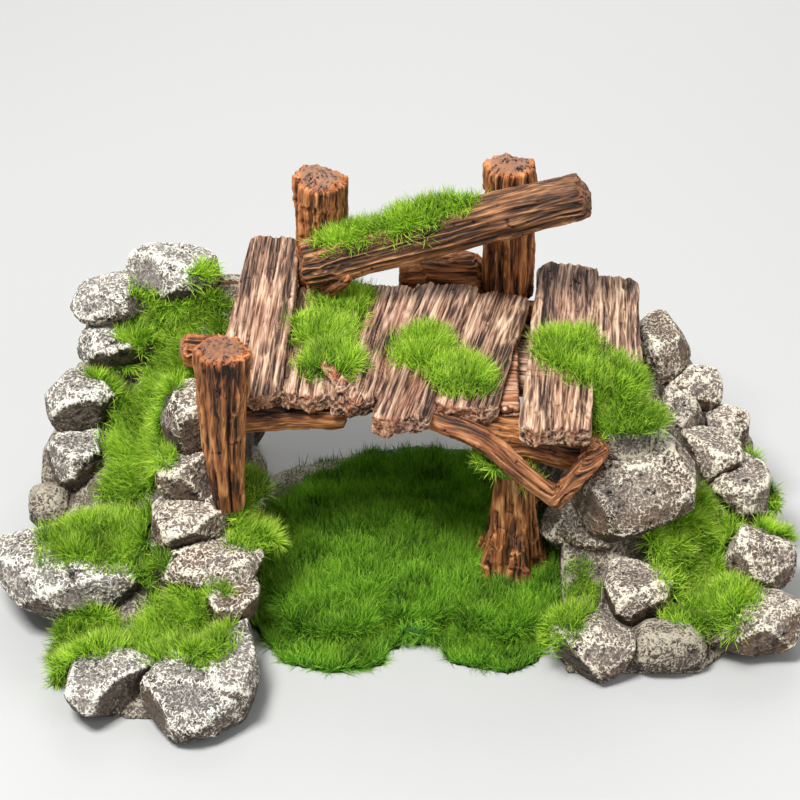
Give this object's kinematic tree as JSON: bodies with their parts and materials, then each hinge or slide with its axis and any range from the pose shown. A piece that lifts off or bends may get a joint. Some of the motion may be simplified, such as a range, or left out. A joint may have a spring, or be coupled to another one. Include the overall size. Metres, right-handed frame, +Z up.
{
  "type": "aquarium cave ornament",
  "caption": "Ruined plank footbridge on two stone abutments with patches of moss; the arch under the deck is a swim-through cave.",
  "frame": {"origin": "middle of the footprint, on the surface the ornament rests on", "axes": "+X along the bridge to the end without a front post, +Y to the handrail side, +Z up"},
  "size_m": [0.1838, 0.1194, 0.0853],
  "materials": {
    "cast_fill": "rough cast, washed dark brown",
    "painted_stone": "matt grey paint, dry-brushed cream on the ridges",
    "deck_wood": "grained, dark wash in the grooves, satin",
    "log_wood": "grained, dark wash in the grooves, satin",
    "split_wood": "bright split wood, satin",
    "flock_moss": "standing static flock fibres"
  },
  "bodies": {
    "root": {"base_slab": "cast_fill", "front_beam_left": "log_wood", "front_beam_right": "log_wood", "middle_beam": "log_wood", "rear_beam": "log_wood", "front_left_post": "log_wood", "rear_left_post": "log_wood", "rear_right_post": "log_wood", "handrail_log": "log_wood", "deck_plank_1": "deck_wood", "deck_plank_2": "deck_wood", "deck_plank_3": "deck_wood", "deck_plank_4": "deck_wood", "deck_plank_5": "deck_wood", "deck_plank_6": "deck_wood", "deck_plank_7": "deck_wood", "under_deck": "deck_wood", "rail_twig": "split_wood", "curved_branch": "split_wood", "root_leg": "log_wood", "left_core": "cast_fill", "right_core": "cast_fill", "left_stone_01": "painted_stone", "left_stone_02": "painted_stone", "left_stone_03": "painted_stone", "left_stone_04": "painted_stone", "left_stone_05": "painted_stone", "left_stone_06": "painted_stone", "left_stone_07": "painted_stone", "left_stone_08": "painted_stone", "left_stone_09": "painted_stone", "left_stone_10": "painted_stone", "left_stone_11": "painted_stone", "left_stone_12": "painted_stone", "left_stone_13": "painted_stone", "left_stone_14": "painted_stone", "right_stone_01": "painted_stone", "right_stone_02": "painted_stone", "right_stone_03": "painted_stone", "right_stone_04": "painted_stone", "right_stone_05": "painted_stone", "right_stone_06": "painted_stone", "right_stone_07": "painted_stone", "right_stone_08": "painted_stone", "right_stone_09": "painted_stone", "right_stone_10": "painted_stone", "right_stone_11": "painted_stone", "right_stone_12": "painted_stone", "moss_floor": "flock_moss", "moss_left_slope": "flock_moss", "moss_left_ledge": "flock_moss", "moss_left_foot": "flock_moss", "moss_post_foot": "flock_moss", "moss_deck_left": "flock_moss", "moss_deck_middle": "flock_moss", "moss_deck_right": "flock_moss", "moss_rail": "flock_moss", "moss_branch": "flock_moss", "moss_right_slope": "flock_moss", "moss_right_edge": "flock_moss"}
  },
  "joints": []
}
